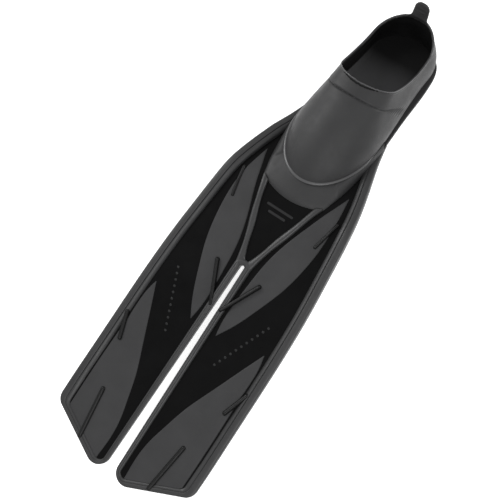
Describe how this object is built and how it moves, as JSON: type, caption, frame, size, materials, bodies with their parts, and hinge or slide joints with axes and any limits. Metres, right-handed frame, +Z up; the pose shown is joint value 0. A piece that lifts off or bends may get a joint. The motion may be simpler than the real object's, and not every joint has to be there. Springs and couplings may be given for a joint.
{
  "type": "split swim fin",
  "caption": "Full-foot split swim fin: rubber foot pocket with a heel pull tab, throat window, and two flexible half blades with rails, membranes and ribs.",
  "frame": {"origin": "centre of the bounding box in X and Y, on the floor the fin lies on", "axes": "+Y towards the heel, blade tips at -Y, +X the right half blade seen from above with the heel near, +Z up through the instep"},
  "size_m": [0.2208, 0.7166, 0.1034],
  "materials": {
    "blade_plate": "satin",
    "marks": "matte",
    "shank": "matte",
    "footbed": "matte",
    "sole_rubber": "matte",
    "rail_rubber": "satin",
    "membrane_rubber": "matte",
    "pocket_rubber": "matte"
  },
  "bodies": {
    "foot_pocket": {"ankle_collar": "pocket_rubber", "foot_upper": "pocket_rubber", "footbed": "footbed", "forefoot_tread": "sole_rubber", "heel_cup": "pocket_rubber", "heel_tab_anchor": "pocket_rubber", "heel_tread": "sole_rubber", "left_outer_rail_root": "rail_rubber", "left_plate_root": "blade_plate", "left_root_flex": "rail_rubber", "left_shoulder_rib": "membrane_rubber", "left_upper_membrane_root": "membrane_rubber", "opening_rim": "pocket_rubber", "outsole": "sole_rubber", "right_outer_rail_root": "rail_rubber", "right_plate_root": "blade_plate", "right_root_flex": "rail_rubber", "right_shoulder_rib": "membrane_rubber", "right_upper_membrane_root": "membrane_rubber", "sole_shank": "shank", "throat_fairing": "pocket_rubber", "throat_yoke": "rail_rubber", "toe_welt": "pocket_rubber", "window_badge": "marks", "window_panel": "blade_plate"},
    "left_blade": {"left_outer_rail_mid": "rail_rubber", "left_inner_rail_mid": "rail_rubber", "left_plate_mid": "blade_plate", "left_upper_membrane_mid": "membrane_rubber", "left_lower_membrane_mid": "membrane_rubber", "left_inner_rib": "membrane_rubber", "left_edge_rib": "membrane_rubber", "left_band_studs": "marks", "left_tip_flex": "rail_rubber"},
    "left_tip": {"left_tip_frame": "rail_rubber", "left_plate_tip": "blade_plate", "left_lower_membrane_tip": "membrane_rubber", "left_tip_rib": "membrane_rubber"},
    "right_blade": {"right_outer_rail_mid": "rail_rubber", "right_inner_rail_mid": "rail_rubber", "right_plate_mid": "blade_plate", "right_upper_membrane_mid": "membrane_rubber", "right_lower_membrane_mid": "membrane_rubber", "right_inner_rib": "membrane_rubber", "right_edge_rib": "membrane_rubber", "right_band_studs": "marks", "right_tip_flex": "rail_rubber"},
    "right_tip": {"right_tip_frame": "rail_rubber", "right_plate_tip": "blade_plate", "right_lower_membrane_tip": "membrane_rubber", "right_tip_rib": "membrane_rubber"},
    "heel_tab": {"heel_pull_tab": "pocket_rubber"}
  },
  "joints": [
    {"name": "left_blade_flex", "type": "hinge", "parent": "foot_pocket", "child": "left_blade", "pos_m": [0, -0.04919, 0.04208], "axis": [1, 0, 0], "range_deg": [-20, 20], "stiffness_Nm_per_rad": 25, "deforming": ["left_root_flex"]},
    {"name": "left_tip_flex_joint", "type": "hinge", "parent": "left_blade", "child": "left_tip", "pos_m": [0, -0.22133, 0.02044], "axis": [1, 0, 0], "range_deg": [-30, 30], "stiffness_Nm_per_rad": 10, "deforming": ["left_tip_flex"]},
    {"name": "right_blade_flex", "type": "hinge", "parent": "foot_pocket", "child": "right_blade", "pos_m": [0, -0.04919, 0.04208], "axis": [1, 0, 0], "range_deg": [-20, 20], "stiffness_Nm_per_rad": 25, "deforming": ["right_root_flex"]},
    {"name": "right_tip_flex_joint", "type": "hinge", "parent": "right_blade", "child": "right_tip", "pos_m": [0, -0.22133, 0.02044], "axis": [1, 0, 0], "range_deg": [-30, 30], "stiffness_Nm_per_rad": 10, "deforming": ["right_tip_flex"]},
    {"name": "heel_tab_flex", "type": "hinge", "parent": "foot_pocket", "child": "heel_tab", "pos_m": [0.0069, 0.34692, 0.07036], "axis": [-1, 0, 0], "range_deg": [-3, 60], "stiffness_Nm_per_rad": 0.05}
  ]
}
